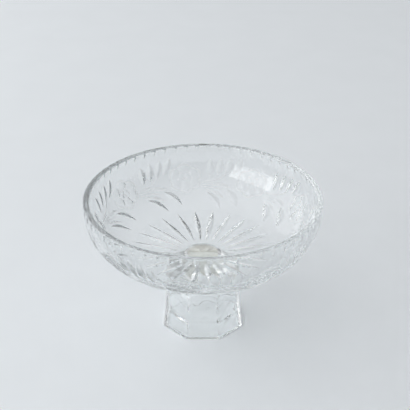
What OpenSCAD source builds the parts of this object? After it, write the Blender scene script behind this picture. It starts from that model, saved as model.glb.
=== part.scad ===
// Footed fruit bowl of cut lead crystal.
// A shallow round bowl with a notched rim, and a star of rays cut under its floor, is bonded
// with a thin clear film to a hollow eight-sided foot in two tiers.
// The origin is on the table, at the middle of the foot, and +Z is up.

/* [Bowl] */
// Diameter of the bowl at its widest
bowl_d = 250; // [200:1:300]
// Height of the bowl from the pad under its floor to its rim
bowl_h = 75; // [60:0.5:92]
// Height of the rim above the widest point
lip_h = 7.5; // [4:0.5:12]
// Radius of the long curve under the floor
bottom_r = 324; // [270:1:420]
// Radius of the long curve of the floor inside
floor_r = 520; // [440:1:640]
// Thickness of the side wall
wall_t = 6.2; // [5:0.1:8]
// Thickness of the glass in the middle of the floor
floor_t = 9; // [7:0.5:12]
// Radius of the polished inner edge of the rim
rim_round = 2; // [1:0.1:2.5]

/* [Rim notches] */
// Number of notches cut round the rim
notch_n = 60; // [40:1:66]
// Angle of the V of a notch
notch_angle = 146; // [130:1:154]
// Depth of a notch at the top edge
notch_depth = 1.2; // [0.6:0.1:2]
// Height of a notch, from the top edge to where it runs out
notch_h = 9; // [6:0.5:12]

/* [Ray star] */
// Number of rays cut under the floor
ray_n = 24; // [12:1:28]
// Angle of the V of a ray
ray_angle = 116; // [110:1:130]
// Gap between the pad and the inner points of the rays
ray_gap = 5.5; // [4:0.5:8]
// Length of a ray from point to point, along the radius
ray_length = 53; // [40:1:56]
// Turn of the star about the axis
ray_turn = 6.5; // [0:0.5:15]

/* [Foot] */
// Height of the foot from the table to its top
foot_h = 77; // [60:0.5:95]
// Width across the flats at the table
foot_af = 86.4; // [76:0.2:100]
// Height of the flared base tier
tier_h = 20; // [14:0.5:26]
// How far each flat of the base tier leans in over its height
tier_flare = 2.5; // [1:0.1:4]
// Width of the step between the base tier and the column
step_w = 0.8; // [0.4:0.1:1.5]
// How far each flat of the column leans in over its height
column_taper = 1.4; // [0.5:0.1:3]
// Height of the shoulder that rounds the column in to the pad, measured at the corners
shoulder_h = 25; // [18:0.5:32]
// Thickness of the wall at the table
foot_wall = 5.9; // [4.5:0.1:8]
// Taper of the hollow on each side, from the table to its top
hollow_taper = 4; // [2:0.5:7]
// Thickness of the solid top over the hollow
crown_t = 15; // [10:0.5:22]
// Height of the dome at the top of the hollow, measured at the corners
dome_h = 24; // [16:0.5:30]
// Width of the bevel on the edges that are ground
edge_bevel = 0.8; // [0.4:0.1:1.2]

/* [Bond] */
// Diameter of the clear film that holds the bowl on the foot
bond_d = 36; // [28:0.5:40]
// Thickness of the film
bond_t = 0.3; // [0.2:0.05:0.5]
// Margin of the ground pad round the film
pad_margin = 2; // [1:0.5:4]

/* [Hidden] */
// Steps in a full circle: the turned bowl, and the long curves of its section
$fn = 240;
section_fn = 720;
sides = 8;
glass = [0.84, 0.90, 0.91];
film = [0.90, 0.86, 0.68];
// Extra length by which a cutter passes the surface that it cuts
pass = 6;
// Extra length of a ray's cutter towards the middle, short of the pad
ray_pass = 3;

bowl_z = foot_h + bond_t;
bowl_r = bowl_d / 2;
// The widest point of the bowl, above its pad
wide_z = bowl_h - lip_h;
pad_r = bond_d / 2 + pad_margin;
// Centre heights of the two long curves: the outer one passes through the edge of the pad
bottom_c = sqrt(pow(bottom_r, 2) - pow(pad_r, 2));
floor_c = floor_t + floor_r;
// Radii of the side curves, outside and inside, which run smoothly into the long curves
side_r = side_curve(bottom_r, bottom_c, bowl_r);
inner_side_r = side_curve(floor_r, floor_c, bowl_r - wall_t);
inner_rim_r = side_at(bowl_h, bowl_r - wall_t, inner_side_r);
ray_start = pad_r + ray_gap;
ray_end = ray_start + ray_length;
// Half widths of the foot across its flats, from the table up
tier_half = foot_af / 2 - tier_flare;
column_half = tier_half - step_w;
hollow_half = foot_af / 2 - foot_wall;
hollow_h = foot_h - crown_t;
// Where the shoulder and the dome of the hollow start on the corners, and where they end: each
// is a distance from the axis and a height
shoulder_from = [corner(column_at(foot_h - shoulder_h)), foot_h - shoulder_h];
shoulder_to = [pad_r, foot_h];
dome_from = [corner(hollow_at(hollow_h - dome_h)), hollow_h - dome_h];
dome_to = [0, hollow_h];

// Radius of the side curve that is upright at the widest point and tangent to a long curve
function side_curve(long_r, long_c, wide_r) =
    (pow(long_r, 2) - pow(wide_r, 2) - pow(long_c - wide_z, 2)) / (2 * (long_r - wide_r));

// Distance from the axis at which a side curve stands at height z
function side_at(z, wide_r, curve_r) =
    wide_r - curve_r + sqrt(pow(curve_r, 2) - pow(z - wide_z, 2));

// Angle from the axis, seen from the centre of a long curve, where it meets its side curve
function join_angle(long_c, wide_r, curve_r) = atan2(wide_r - curve_r, long_c - wide_z);

// Height of the long curve under the floor above the pad, at a distance from the axis
function under_at(r) = bottom_c - sqrt(pow(bottom_r, 2) - pow(r, 2));

// Half width of the column, and of the hollow, across the flats at height z
function column_at(z) =
    column_half - column_taper * (z - tier_h - step_w) / (foot_h - tier_h - step_w);
function hollow_at(z) = hollow_half - hollow_taper * z / hollow_h;

// Distance of the corners from the axis for a half width across the flats
function corner(half) = half / cos(180 / sides);

// Height of the centre, on the axis, of the sphere through two points
function sphere_c(from, to) = (pow(norm(from), 2) - pow(norm(to), 2)) / (2 * (from[1] - to[1]));

// Half section of a bowl filled to a level: a long curve as far as the join, a side curve beyond
module filled_section(long_r, long_c, wide_r, curve_r, level) {
    join = join_angle(long_c, wide_r, curve_r);
    wedge = 2 * long_r;
    intersection() {
        union() {
            translate([0, long_c]) intersection() {
                circle(r = long_r, $fn = section_fn);
                polygon([[0, 0], [0, -wedge], [wedge * sin(join), -wedge * cos(join)]]);
            }
            translate([wide_r - curve_r, wide_z]) circle(r = curve_r, $fn = section_fn);
        }
        square([wide_r + pass, level]);
    }
}

// What polishing takes off the inner edge of the rim, in half section
module rim_polish() {
    translate([inner_rim_r, bowl_h - rim_round]) difference() {
        translate([-pass, 0]) square([pass + rim_round, rim_round + pass]);
        translate([rim_round, 0]) circle(r = rim_round);
    }
}

// Half section of the bowl: the wall between its outside and its inside
module bowl_section() {
    difference() {
        filled_section(bottom_r, bottom_c, bowl_r, side_r, bowl_h);
        filled_section(floor_r, floor_c, bowl_r - wall_t, inner_side_r, bowl_h + pass);
        rim_polish();
    }
}

// One rim notch: a V cut that is deepest at the top edge and runs out to a point down the wall
module notch() {
    point_r = side_at(bowl_h - notch_h, bowl_r, side_r);
    top_r = side_at(bowl_h, bowl_r, side_r) - notch_depth;
    // The depth and more than half as much again, to clear the glass
    reach = 1.6 * notch_depth;
    half = reach * tan(notch_angle / 2);
    translate([point_r, 0, bowl_h - notch_h]) rotate([0, -atan2(point_r - top_r, notch_h), 0])
        translate([0, 0, -pass]) linear_extrude(height = notch_h + 2 * pass)
            polygon([[0, 0], [reach, -half], [reach, half]]);
}

// One ray: a V cut whose bottom is a chord of the underside, so that both its ends are points
module ray() {
    run = ray_end - ray_start;
    rise = under_at(ray_end) - under_at(ray_start);
    length = norm([run, rise]);
    // The chord's height over its curve and more than half as much again, to clear the glass
    drop = 0.2 * pow(length, 2) / bottom_r;
    half = drop * tan(ray_angle / 2);
    translate([ray_start, 0, under_at(ray_start)]) rotate([0, -atan2(rise, run), 0])
        translate([-ray_pass, 0, 0]) rotate([90, 0, 90])
            linear_extrude(height = length + ray_pass + pass)
                polygon([[0, 0], [-half, -drop], [half, -drop]]);
}

// A ring of copies about the axis
module ring(count, turn = 0) {
    for (i = [0 : count - 1]) rotate([0, 0, turn + i * 360 / count]) children();
}

// Eight-sided form whose flats all follow one upright outline, mitred at the corners
module eight_sided() {
    intersection_for (i = [0 : sides / 2 - 1])
        rotate([90, 0, i * 360 / sides])
            linear_extrude(height = 2 * foot_af, center = true) children();
}

// Closed outline from points up its right edge, mirrored to the left
module mirrored_outline(right) {
    last = len(right) - 1;
    polygon(concat(right, [for (i = [last : -1 : 0]) [-right[i][0], right[i][1]]]));
}

// Outline of the foot: a flared base tier, a small step, and a column that leans in to the top
module foot_outline() {
    mirrored_outline([
        [foot_af / 2 - edge_bevel, 0],
        [foot_af / 2, edge_bevel],
        [tier_half, tier_h],
        [column_half, tier_h + step_w],
        [column_at(foot_h), foot_h]
    ]);
}

// Outline of the hollow under the foot: a bevelled mouth and straight tapered sides
module hollow_outline() {
    mirrored_outline([
        [hollow_half + edge_bevel + pass, -pass],
        [hollow_half + edge_bevel, 0],
        [hollow_at(edge_bevel), edge_bevel],
        [hollow_at(hollow_h + pass / 2), hollow_h + pass / 2]
    ]);
}

// What lies outside the sphere through two points, from the height of its centre up
module over_dome(from, to) {
    centre = sphere_c(from, to);
    dome_r = norm([to[0], to[1] - centre]);
    translate([0, 0, centre]) difference() {
        cylinder(r = foot_af, h = dome_r + pass);
        sphere(r = dome_r);
    }
}

// The hollow under the foot, closed by a dome
module hollow() {
    difference() {
        eight_sided() hollow_outline();
        over_dome(dome_from, dome_to);
    }
}

module bowl() {
    color(glass) translate([0, 0, bowl_z]) difference() {
        rotate_extrude() bowl_section();
        ring(notch_n, 180 / notch_n) notch();
        ring(ray_n, ray_turn) ray();
    }
}

module bond_disc() {
    color(film) translate([0, 0, foot_h]) cylinder(d = bond_d, h = bond_t);
}

module pedestal_foot() {
    color(glass) difference() {
        eight_sided() foot_outline();
        over_dome(shoulder_from, shoulder_to);
        hollow();
    }
}

bowl();
bond_disc();
pedestal_foot();
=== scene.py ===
"""Looks of a footed fruit bowl in cut lead crystal.

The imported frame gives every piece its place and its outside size. Each surface is a formula of two
parameters, round the axis and along a half section, worked out with numpy as whole arrays. Sizes in
the classes are millimetres and degrees, as on a workshop drawing, and the meshes are in metres.
"""

import logging
from abc import ABC, abstractmethod
from collections.abc import Callable
from dataclasses import dataclass, field, replace
from enum import Enum
from typing import Protocol

import bpy
import numpy as np
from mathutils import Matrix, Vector
from mathutils.geometry import delaunay_2d_cdt
from numpy.typing import NDArray


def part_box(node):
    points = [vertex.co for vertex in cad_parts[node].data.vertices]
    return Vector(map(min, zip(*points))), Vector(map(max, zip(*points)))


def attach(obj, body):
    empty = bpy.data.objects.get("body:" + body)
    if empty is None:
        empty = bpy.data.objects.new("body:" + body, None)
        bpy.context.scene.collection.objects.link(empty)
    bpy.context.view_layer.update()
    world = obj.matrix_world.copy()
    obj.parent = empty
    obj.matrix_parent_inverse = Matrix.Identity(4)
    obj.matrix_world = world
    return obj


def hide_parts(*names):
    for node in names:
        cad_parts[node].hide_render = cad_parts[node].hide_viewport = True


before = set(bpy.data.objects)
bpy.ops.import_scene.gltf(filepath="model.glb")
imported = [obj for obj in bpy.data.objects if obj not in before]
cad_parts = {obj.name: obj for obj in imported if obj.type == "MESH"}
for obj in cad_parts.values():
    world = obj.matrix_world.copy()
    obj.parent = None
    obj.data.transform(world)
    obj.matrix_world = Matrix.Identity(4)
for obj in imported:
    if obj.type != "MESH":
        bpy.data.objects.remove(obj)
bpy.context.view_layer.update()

Array = NDArray[np.float64]
Index = NDArray[np.int64]
Place = tuple[float, float]
LOG = logging.getLogger("fruit_bowl")
MM = 0.001
# The mesh attribute that says how matt the cuts were left.
ENGRAVED = "engraved"


class Slot(Enum):
    """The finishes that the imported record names."""

    CRYSTAL = "lead_crystal"
    FILM = "bond_film"


def linear(colour: str) -> tuple[float, float, float, float]:
    """Turns a colour as people write it into the one that light is summed in, by the sRGB curve.

    Dark parts are divided by 12.92, and the others follow a power of 2.4.

    Args:
        colour: An sRGB colour such as "#E4E8EA".

    Returns:
        Linear red, green and blue, and an alpha of 1.
    """
    parts = np.array([int(colour[i : i + 2], 16) for i in (1, 3, 5)]) / 255.0
    low, high = parts / 12.92, ((parts + 0.055) / 1.055) ** 2.4
    red, green, blue = np.where(parts <= 0.04045, low, high).tolist()
    return red, green, blue, 1.0


def add_node(
    tree: bpy.types.NodeTree,
    kind: str,
    inputs: dict[str | int, object] | None = None,
    **settings: object,
) -> bpy.types.Node:
    """Adds one node, sets it and links it.

    Args:
        tree: The node tree that takes the node.
        kind: Blender's own name for that type of node.
        inputs: A plain value or an incoming output socket for each input, by its name or its place.
        settings: The node's other properties.

    Returns:
        The new node.
    """
    node = tree.nodes.new(kind)
    for name, value in settings.items():
        setattr(node, name, value)
    for key, value in (inputs or {}).items():
        if isinstance(value, bpy.types.NodeSocket):
            tree.links.new(value, node.inputs[key])
        else:
            node.inputs[key].default_value = value
    return node


def new_material(name: str) -> tuple[bpy.types.Material, bpy.types.NodeTree]:
    """Makes a material with an empty node tree.

    Args:
        name: The real material's common name.

    Returns:
        The material and its tree.
    """
    material = bpy.data.materials.new(name)
    material.use_nodes = True
    material.node_tree.nodes.clear()
    return material, material.node_tree


@dataclass(frozen=True)
class CutCrystal:
    """Lead crystal, cut on a wheel and polished in acid, or pressed in a mould and fire-polished.

    To the eye it is clear and heavy, bends light strongly and greys where light runs far through it.
    It keeps a faint waviness and haze, and the cuts that were left unpolished are matt.
    """

    name: str = "lead_crystal_cut_and_polished"
    tint: str = "#FDFEFE"
    depth_tint: str = "#E3E6E7"
    depth_density: float = 10.0
    ior: float = 1.545
    wave_mm: float = 34.0
    wave_height_mm: float = 0.02
    haze_mm: float = 3.0
    haze_roughness: float = 0.012
    engraved_roughness: float = 0.5

    def make(self) -> bpy.types.Material:
        """Makes the material: clear glass with a wavy polish and a faint grey in its depth.

        Its roughness is the haze's noise times a small amount, plus a larger amount times how matt the
        cut is.

        Returns:
            The material.
        """
        material, tree = new_material(self.name)
        place = add_node(tree, "ShaderNodeTexCoord").outputs["Object"]
        wave = add_node(tree, "ShaderNodeTexNoise", {"Vector": place, "Scale": 1 / (self.wave_mm * MM)})
        polish = add_node(
            tree,
            "ShaderNodeBump",
            {"Height": wave.outputs["Fac"], "Distance": self.wave_height_mm * MM, "Strength": 1.0},
        )
        haze = add_node(tree, "ShaderNodeTexNoise", {"Vector": place, "Scale": 1 / (self.haze_mm * MM)})
        engraved = add_node(tree, "ShaderNodeAttribute", attribute_name=ENGRAVED)
        fine = add_node(
            tree, "ShaderNodeMath", {0: haze.outputs["Fac"], 1: self.haze_roughness}, operation="MULTIPLY"
        )
        rough = add_node(
            tree,
            "ShaderNodeMath",
            {0: engraved.outputs["Fac"], 1: self.engraved_roughness, 2: fine.outputs[0]},
            operation="MULTIPLY_ADD",
        )
        glass = add_node(
            tree,
            "ShaderNodeBsdfPrincipled",
            {
                "Base Color": linear(self.tint),
                "Roughness": rough.outputs[0],
                "IOR": self.ior,
                "Transmission Weight": 1.0,
                "Normal": polish.outputs["Normal"],
            },
        )
        depth = add_node(
            tree,
            "ShaderNodeVolumeAbsorption",
            {"Color": linear(self.depth_tint), "Density": self.depth_density},
        )
        add_node(
            tree,
            "ShaderNodeOutputMaterial",
            {"Surface": glass.outputs["BSDF"], "Volume": depth.outputs["Volume"]},
        )
        return material


@dataclass(frozen=True)
class BondFilm:
    """Clear adhesive cured under lamps. It has gone a little straw coloured, with a fine unevenness."""

    name: str = "clear_adhesive_cured"
    tint: str = "#FBF9F1"
    ior: float = 1.5
    cloud_mm: float = 6.0
    least_roughness: float = 0.02
    most_roughness: float = 0.1

    def make(self) -> bpy.types.Material:
        """Makes the material: a straw-tinted clear film whose gloss is uneven.

        Returns:
            The material.
        """
        material, tree = new_material(self.name)
        place = add_node(tree, "ShaderNodeTexCoord").outputs["Object"]
        cloud = add_node(tree, "ShaderNodeTexNoise", {"Vector": place, "Scale": 1 / (self.cloud_mm * MM)})
        rough = add_node(
            tree,
            "ShaderNodeMapRange",
            {
                "Value": cloud.outputs["Fac"],
                "To Min": self.least_roughness,
                "To Max": self.most_roughness,
            },
        )
        film = add_node(
            tree,
            "ShaderNodeBsdfPrincipled",
            {
                "Base Color": linear(self.tint),
                "Roughness": rough.outputs["Result"],
                "IOR": self.ior,
                "Transmission Weight": 1.0,
            },
        )
        add_node(tree, "ShaderNodeOutputMaterial", {"Surface": film.outputs["BSDF"]})
        return material


@dataclass(frozen=True)
class PaleBoard:
    """A board painted a cool off-white, matt, with the faint mottle that a roller leaves."""

    name: str = "painted_board_matt"
    light: str = "#E2E7EA"
    dark: str = "#DEE3E6"
    mottle_mm: float = 60.0
    roughness: float = 0.7
    gloss: float = 0.2

    def make(self) -> bpy.types.Material:
        """Makes the material: two close tones mixed by a soft mottle.

        Returns:
            The material.
        """
        material, tree = new_material(self.name)
        place = add_node(tree, "ShaderNodeTexCoord").outputs["Object"]
        mottle = add_node(tree, "ShaderNodeTexNoise", {"Vector": place, "Scale": 1 / (self.mottle_mm * MM)})
        # The mix's colours are its seventh and eighth inputs, and its third output.
        colour = add_node(
            tree,
            "ShaderNodeMix",
            {0: mottle.outputs["Fac"], 6: linear(self.dark), 7: linear(self.light)},
            data_type="RGBA",
        )
        paint = add_node(
            tree,
            "ShaderNodeBsdfPrincipled",
            {
                "Base Color": colour.outputs[2],
                "Roughness": self.roughness,
                "Specular IOR Level": self.gloss,
            },
        )
        add_node(tree, "ShaderNodeOutputMaterial", {"Surface": paint.outputs["BSDF"]})
        return material


def ring_faces(rows: int, columns: int) -> Index:
    """Lists the four-sided faces of a grid that closes on itself round the axis.

    A face joins point (i, j) to (i, j+1), (i+1, j+1) and (i+1, j). It faces out where the rows follow a
    half section with the solid on their left, and the columns turn anticlockwise seen from above.

    Args:
        rows: Number of rows along the section.
        columns: Number of columns round the axis.

    Returns:
        Point indices, four to a face.
    """
    i, j = np.meshgrid(np.arange(rows - 1), np.arange(columns), indexing="ij")
    here, beside = i * columns + j, i * columns + (j + 1) % columns
    return np.stack([here, beside, beside + columns, here + columns], axis=-1).reshape(-1, 4)


def fan_faces(pole: int, columns: int, first: int, closes_start: bool) -> Index:
    """Lists the triangles that close a ring on a point of the axis.

    Args:
        pole: Index of the point on the axis.
        columns: Number of points in the ring.
        first: Index of the ring's first point.
        closes_start: True where the ring is the first row of its section, and False where it is the last.

    Returns:
        Point indices, three to a face.
    """
    j = np.arange(columns)
    here, beside = first + j, first + (j + 1) % columns
    ends = (beside, here) if closes_start else (here, beside)
    return np.stack([np.full(columns, pole), *ends], axis=-1)


def closed_faces(rows: int, columns: int) -> list[Index]:
    """Lists the faces of a grid round the axis that closes on a pole at each end.

    Args:
        rows: Number of rows along the section.
        columns: Number of columns round the axis.

    Returns:
        The grid's faces, and the fans to the two poles, which come after the grid's points.
    """
    count = rows * columns
    return [
        ring_faces(rows, columns),
        fan_faces(count, columns, 0, True),
        fan_faces(count + 1, columns, count - columns, False),
    ]


def make_piece(
    name: str, points: Array, faces: list[Index], material: bpy.types.Material
) -> bpy.types.Object:
    """Makes a mesh object at the origin with smooth faces.

    Args:
        name: Name of the piece.
        points: Places of its points in millimetres.
        faces: Point indices of its faces, one array for each number of corners.
        material: Its finish.

    Returns:
        The object, linked to the scene.
    """
    mesh = bpy.data.meshes.new(name)
    mesh.from_pydata((points * MM).tolist(), [], [face for part in faces for face in part.tolist()])
    mesh.polygons.foreach_set("use_smooth", np.ones(len(mesh.polygons), dtype=bool))
    mesh.materials.append(material)
    mesh.validate()
    mesh.update()
    piece = bpy.data.objects.new(name, mesh)
    bpy.context.scene.collection.objects.link(piece)
    return piece


def place_piece(piece: bpy.types.Object, node: str) -> None:
    """Puts a piece in the place of a CAD node, on the body that does not move.

    Args:
        piece: The new piece.
        node: The CAD node that it stands for.
    """
    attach(piece, "root")
    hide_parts(node)
    LOG.info("%s: %d faces, stands for %s", piece.name, len(piece.data.polygons), node)


def node_box(node: str) -> tuple[Array, Array]:
    """Lowest and highest corner of a CAD node in millimetres."""
    low, high = (np.array(corner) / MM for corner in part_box(node))
    return low, high


def turned(radius: Array, height: Array, angles: Array) -> Array:
    """Carries a section round the axis: x = r cos a, y = r sin a, z = h.

    Args:
        radius: Distances from the axis, for each row, or for each row and column.
        height: Heights, in either form.
        angles: Angles of the columns in radians.

    Returns:
        Points of the grid, row by row.
    """
    shape = (len(radius), len(angles))
    radius, height = (np.broadcast_to(np.atleast_2d(v.T).T, shape) for v in (radius, height))
    return np.stack([radius * np.cos(angles), radius * np.sin(angles), height], axis=-1).reshape(-1, 3)


def facing(tilt: Array | float, turn: Array) -> Array:
    """Unit vectors (sin t cos a, sin t sin a, -cos t), for a tilt t from straight down and a turn a."""
    tilt, turn = np.broadcast_arrays(tilt, turn)
    return np.stack([np.sin(tilt) * np.cos(turn), np.sin(tilt) * np.sin(turn), -np.cos(tilt)], axis=-1)


def wrapped(angle: Array, period: float) -> Array:
    """Brings an angle to the range of one period about zero."""
    return (angle + period / 2) % period - period / 2


class Cut(Protocol):
    """Anything that a wheel takes out of the outside of the bowl, repeated round the axis.

    Places on the outside are given by the angle round the axis in degrees and the distance along the
    half section, from the axis, in millimetres. A cut that was polished has a matt of 0, and one that
    is as the wheel left it has a matt of 1.
    """

    period: float
    matt: float

    def reach(self, angle: Array, along: Array) -> Array:
        """How far the wheel reaches below the surface, negative where it passes clear."""

    def lines(self) -> list[Array]:
        """The edges that the cut leaves, as rows of angle and distance along."""


@dataclass(frozen=True)
class MitreCut:
    """A leaf or a stem: one V groove along a bowed line, deepest at its middle and pointed at both ends.

    Attributes:
        start: Angle and distance along where it starts.
        end: The same where it ends.
        depth: Depth at its middle.
        half_width: Half its width at its middle.
        bow: How far its middle stands off the straight line.
        matt: How matt it was left.
        period: Angle after which it repeats.
        radius: Distance of that part of the wall from the axis.
        steps: Number of straight pieces in each of its edges.
    """

    start: Place
    end: Place
    depth: float
    half_width: float
    bow: float = 0.0
    matt: float = 1.0
    period: float = 40.0
    radius: float = 117.0
    steps: int = 12

    def line(self) -> tuple[float, float, float, float, float]:
        """Measures the straight line from end to end.

        Returns:
            Angle and distance along of its middle, its run and rise in millimetres, and its length.
        """
        run = float(np.radians(self.end[0] - self.start[0])) * self.radius
        rise = self.end[1] - self.start[1]
        middle = (self.start[0] + self.end[0]) / 2, (self.start[1] + self.end[1]) / 2
        return *middle, run, rise, float(np.hypot(run, rise))

    def reach(self, angle: Array, along: Array) -> Array:
        """Depth times 4t(1-t) along the line, less the rise of the V across it, where t is from 0 to 1.

        Args:
            angle: Angles round the axis.
            along: Distances along the section.

        Returns:
            How far the wheel reaches below the surface.
        """
        middle, height, run, rise, length = self.line()
        x = np.radians(wrapped(angle - middle, self.period)) * self.radius
        y = along - height
        t = 0.5 + (x * run + y * rise) / length**2
        swell = 4 * t * (1 - t)
        across = (x * rise - y * run) / length - self.bow * swell
        return self.depth * (swell - np.abs(across) / self.half_width)

    def lines(self) -> list[Array]:
        """The bottom of the V and its two edges, which stand off the line by their share of 4t(1-t).

        Returns:
            Rows of angle and distance along.
        """
        middle, height, run, rise, length = self.line()
        t = np.linspace(0, 1, self.steps + 1)
        swell = 4 * t * (1 - t)
        edges = []
        for side in (-1, 0, 1):
            across = (side * self.half_width + self.bow) * swell
            x = (t - 0.5) * run + across * rise / length
            y = (t - 0.5) * rise - across * run / length
            edges.append(np.stack([middle + np.degrees(x / self.radius), height + y], axis=-1))
        return edges


@dataclass(frozen=True)
class PetalCut:
    """A petal: a shallow oval hollow, cut with a round-edged wheel and left half matt.

    Attributes:
        centre: Angle and distance along of its middle.
        half_length: Half its length.
        half_width: Half its width.
        way: Direction of its length, in degrees from level.
        depth: Depth at its middle.
        matt: How matt it was left.
        period: Angle after which it repeats.
        radius: Distance of that part of the wall from the axis.
        steps: Number of straight pieces in its edge.
        ovals: Shares of its size at which the mesh follows its roundness.
    """

    centre: Place
    half_length: float
    half_width: float
    way: float
    depth: float
    matt: float = 0.5
    period: float = 40.0
    radius: float = 119.0
    steps: int = 22
    ovals: tuple[float, ...] = (1.0, 0.7, 0.35)

    def reach(self, angle: Array, along: Array) -> Array:
        """Depth times one less the squares of the shares of the half length and half width.

        Args:
            angle: Angles round the axis.
            along: Distances along the section.

        Returns:
            How far the wheel reaches below the surface.
        """
        x = np.radians(wrapped(angle - self.centre[0], self.period)) * self.radius
        y = along - self.centre[1]
        c, s = np.cos(np.radians(self.way)), np.sin(np.radians(self.way))
        out = ((x * c + y * s) / self.half_length) ** 2 + ((y * c - x * s) / self.half_width) ** 2
        return self.depth * (1 - out)

    def lines(self) -> list[Array]:
        """The edge of the hollow, and the smaller ovals inside it.

        Returns:
            Rows of angle and distance along.
        """
        turn = np.linspace(0, 2 * np.pi, self.steps + 1)
        c, s = np.cos(np.radians(self.way)), np.sin(np.radians(self.way))
        rows = []
        for share in self.ovals:
            u, v = share * self.half_length * np.cos(turn), share * self.half_width * np.sin(turn)
            angle = self.centre[0] + np.degrees((u * c - v * s) / self.radius)
            rows.append(np.stack([angle, self.centre[1] + (u * s + v * c)], axis=-1))
        return rows


class StraightCut(ABC):
    """A V cut that runs straight up the wall, with sides that rise evenly from the bottom of the V."""

    half_angle: float
    turn: float
    period: float
    steps: int

    @abstractmethod
    def middle_depth(self, along: Array) -> Array:
        """Depth of the bottom of the V, negative beyond its points."""

    @abstractmethod
    def wall_r(self, along: Array) -> Array:
        """Distance of that part of the wall from the axis."""

    @abstractmethod
    def span(self) -> Place:
        """Distances along where the cut starts and ends."""

    def reach(self, angle: Array, along: Array) -> Array:
        """Depth in the middle of the V, less the distance across over the tangent of half its angle."""
        across = np.radians(wrapped(angle - self.turn, self.period)) * self.wall_r(along)
        return self.middle_depth(along) - np.abs(across) / np.tan(np.radians(self.half_angle))

    def lines(self) -> list[Array]:
        """The bottom of the V and its two edges.

        Returns:
            Rows of angle and distance along.
        """
        along = np.linspace(*self.span(), self.steps + 1)
        half = np.maximum(self.middle_depth(along), 0) * np.tan(np.radians(self.half_angle))
        half = np.degrees(half / self.wall_r(along))
        return [np.stack([self.turn + side * half, along], axis=-1) for side in (-1, 0, 1)]


@dataclass(frozen=True)
class RimNotch(StraightCut):
    """A short V cut in the rim, deepest at the top edge and run out to a point down the wall.

    Attributes:
        rim_along: Distance along of the top edge.
        top_along: Distance along where the polished rounding of the edge starts.
        side_r: Radius of the wall's side curve.
        half_angle: Half the angle of the V.
        depth: Depth at the top edge.
        height: Height of the cut.
        turn: Angle of the first notch.
        period: Angle from notch to notch.
        worn: Share of the depth that polishing took away at the top edge.
        worn_height: Height over which that dies away.
        matt: How matt it was left.
        radius: Distance of the rim from the axis.
        steps: Number of straight pieces in each of its edges.
    """

    rim_along: float
    top_along: float
    side_r: float
    half_angle: float = 73.0
    depth: float = 1.2
    height: float = 9.0
    turn: float = 3.0
    period: float = 6.0
    worn: float = 0.6
    worn_height: float = 2.2
    matt: float = 0.0
    radius: float = 124.6
    steps: int = 12

    def middle_depth(self, along: Array) -> Array:
        """Depth that falls straight down the wall, with the bulge of the wall over that line.

        Polishing the edge took the top of each notch down with it, by a share that dies away as exp(-d^2).

        Args:
            along: Distances along the section.

        Returns:
            Depth of the bottom of the V.
        """
        below = self.rim_along - along
        bulge = below * (self.height - below) / (2 * self.side_r)
        straight = self.depth * (1 - below / self.height) + bulge
        return straight * (1 - self.worn * np.exp(-((below / self.worn_height) ** 2)))

    def wall_r(self, along: Array) -> Array:
        """Distance of the rim from the axis, for each place."""
        return np.full_like(along, self.radius)

    def span(self) -> Place:
        """Distances along where the cut starts and ends."""
        return self.rim_along - self.height, self.top_along


@dataclass(frozen=True)
class Ray(StraightCut):
    """A ray of the star under the floor: a V groove whose bottom is an arc between its two points.

    Attributes:
        radius_at: Distance from the axis at a distance along the section.
        start: Distance along where the ray starts.
        end: The same where it ends.
        half_angle: Half the angle of the V.
        depth_r: Radius of a curve that stands over its chord by the depth of the ray.
        turn: Angle of the first ray.
        period: Angle from ray to ray.
        matt: How matt it was left.
        steps: Number of straight pieces in each of its edges.
    """

    radius_at: Callable[[Array], Array]
    start: float = 25.5
    end: float = 79.3
    half_angle: float = 58.0
    depth_r: float = 165.0
    turn: float = 6.5
    period: float = 15.0
    matt: float = 0.1
    steps: int = 16

    def middle_depth(self, along: Array) -> Array:
        """Height of the curve over its chord: the distances to the two points, over twice its radius."""
        return (along - self.start) * (self.end - along) / (2 * self.depth_r)

    def wall_r(self, along: Array) -> Array:
        """Distance of the wall from the axis, for each place."""
        return self.radius_at(along)

    def span(self) -> Place:
        """Distances along where the cut starts and ends."""
        return self.start, self.end


@dataclass(frozen=True)
class PetalRing:
    """A ring of petals: a hollow for each petal, and a bowed groove round its outer edge.

    Attributes:
        count: Number of petals.
        turn: Direction of the first petal in degrees from level.
        hollow_ring: Distance of the hollows from the flower's centre.
        half_length: Half the length of a hollow, outward.
        half_width: Half its width.
        depth: Its depth.
        edge_ring: Distance of the grooves' ends from the flower's centre.
        edge_depth: Depth of a groove.
        edge_half_width: Half its width.
        edge_bow: How far its middle stands out.
    """

    count: int
    turn: float
    hollow_ring: float
    half_length: float
    half_width: float
    depth: float
    edge_ring: float
    edge_depth: float
    edge_half_width: float
    edge_bow: float

    def ways(self) -> Array:
        """Directions of the petals in degrees, even round the flower."""
        return self.turn + np.arange(self.count) * 360 / self.count


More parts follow.
